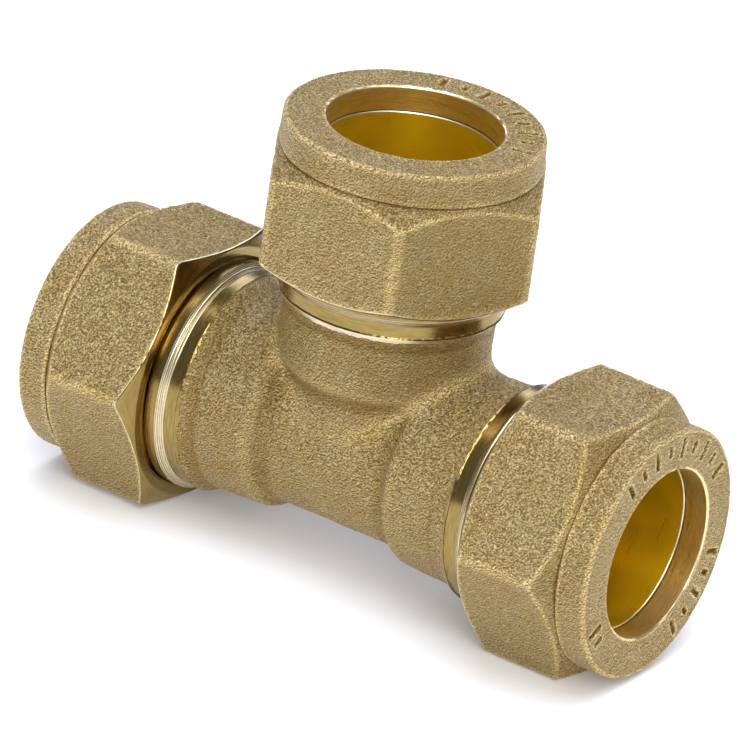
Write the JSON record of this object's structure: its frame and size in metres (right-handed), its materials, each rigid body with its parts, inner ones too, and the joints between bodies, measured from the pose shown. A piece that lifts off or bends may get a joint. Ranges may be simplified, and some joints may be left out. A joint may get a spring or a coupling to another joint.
{
  "type": "compression equal tee",
  "caption": "Brass compression tee: a forged body joins round tubes in line and at a right angle, each gripped by a hexagon nut that presses a sealing ring on to the tube.",
  "frame": {"origin": "point where the run axis and the branch axis meet, inside the body", "axes": "+X along the run towards the right port, +Z along the branch away from the run, +Y square to both"},
  "size_m": [0.0596, 0.0264, 0.0416],
  "materials": {
    "forged_brass": "shot-blasted forging with machined thread, land and sockets",
    "olive_brass": "smooth machined"
  },
  "bodies": {
    "tee": {"tee_body": "forged_brass"},
    "olive_left": {"olive_left": "olive_brass"},
    "olive_right": {"olive_right": "olive_brass"},
    "olive_branch": {"olive_branch": "olive_brass"},
    "nut_left": {"nut_left": "forged_brass"},
    "nut_right": {"nut_right": "forged_brass"},
    "nut_branch": {"nut_branch": "forged_brass"}
  },
  "joints": [
    {"name": "olive_left_slide", "type": "slide", "parent": "tee", "child": "olive_left", "axis": [-1, 0, 0], "range_m": [0, 0.005]},
    {"name": "olive_right_slide", "type": "slide", "parent": "tee", "child": "olive_right", "axis": [1, 0, 0], "range_m": [0, 0.005]},
    {"name": "olive_branch_slide", "type": "slide", "parent": "tee", "child": "olive_branch", "axis": [0, 0, 1], "range_m": [0, 0.005]},
    {"name": "nut_left_turn", "type": "hinge", "parent": "olive_left", "child": "nut_left", "pos_m": [-0.0234, 0, 0], "axis": [-1, 0, 0], "range_deg": [0, 990]},
    {"name": "nut_right_turn", "type": "hinge", "parent": "olive_right", "child": "nut_right", "pos_m": [0.0234, 0, 0], "axis": [1, 0, 0], "range_deg": [0, 990]},
    {"name": "nut_branch_turn", "type": "hinge", "parent": "olive_branch", "child": "nut_branch", "pos_m": [0, 0, 0.0234], "axis": [0, 0, 1], "range_deg": [0, 990]}
  ],
  "couplings": [
    {"joint": "olive_left_slide", "follows": "nut_left_turn", "m_per_rad": 0.00028871},
    {"joint": "olive_right_slide", "follows": "nut_right_turn", "m_per_rad": 0.00028871},
    {"joint": "olive_branch_slide", "follows": "nut_branch_turn", "m_per_rad": 0.00028871}
  ]
}
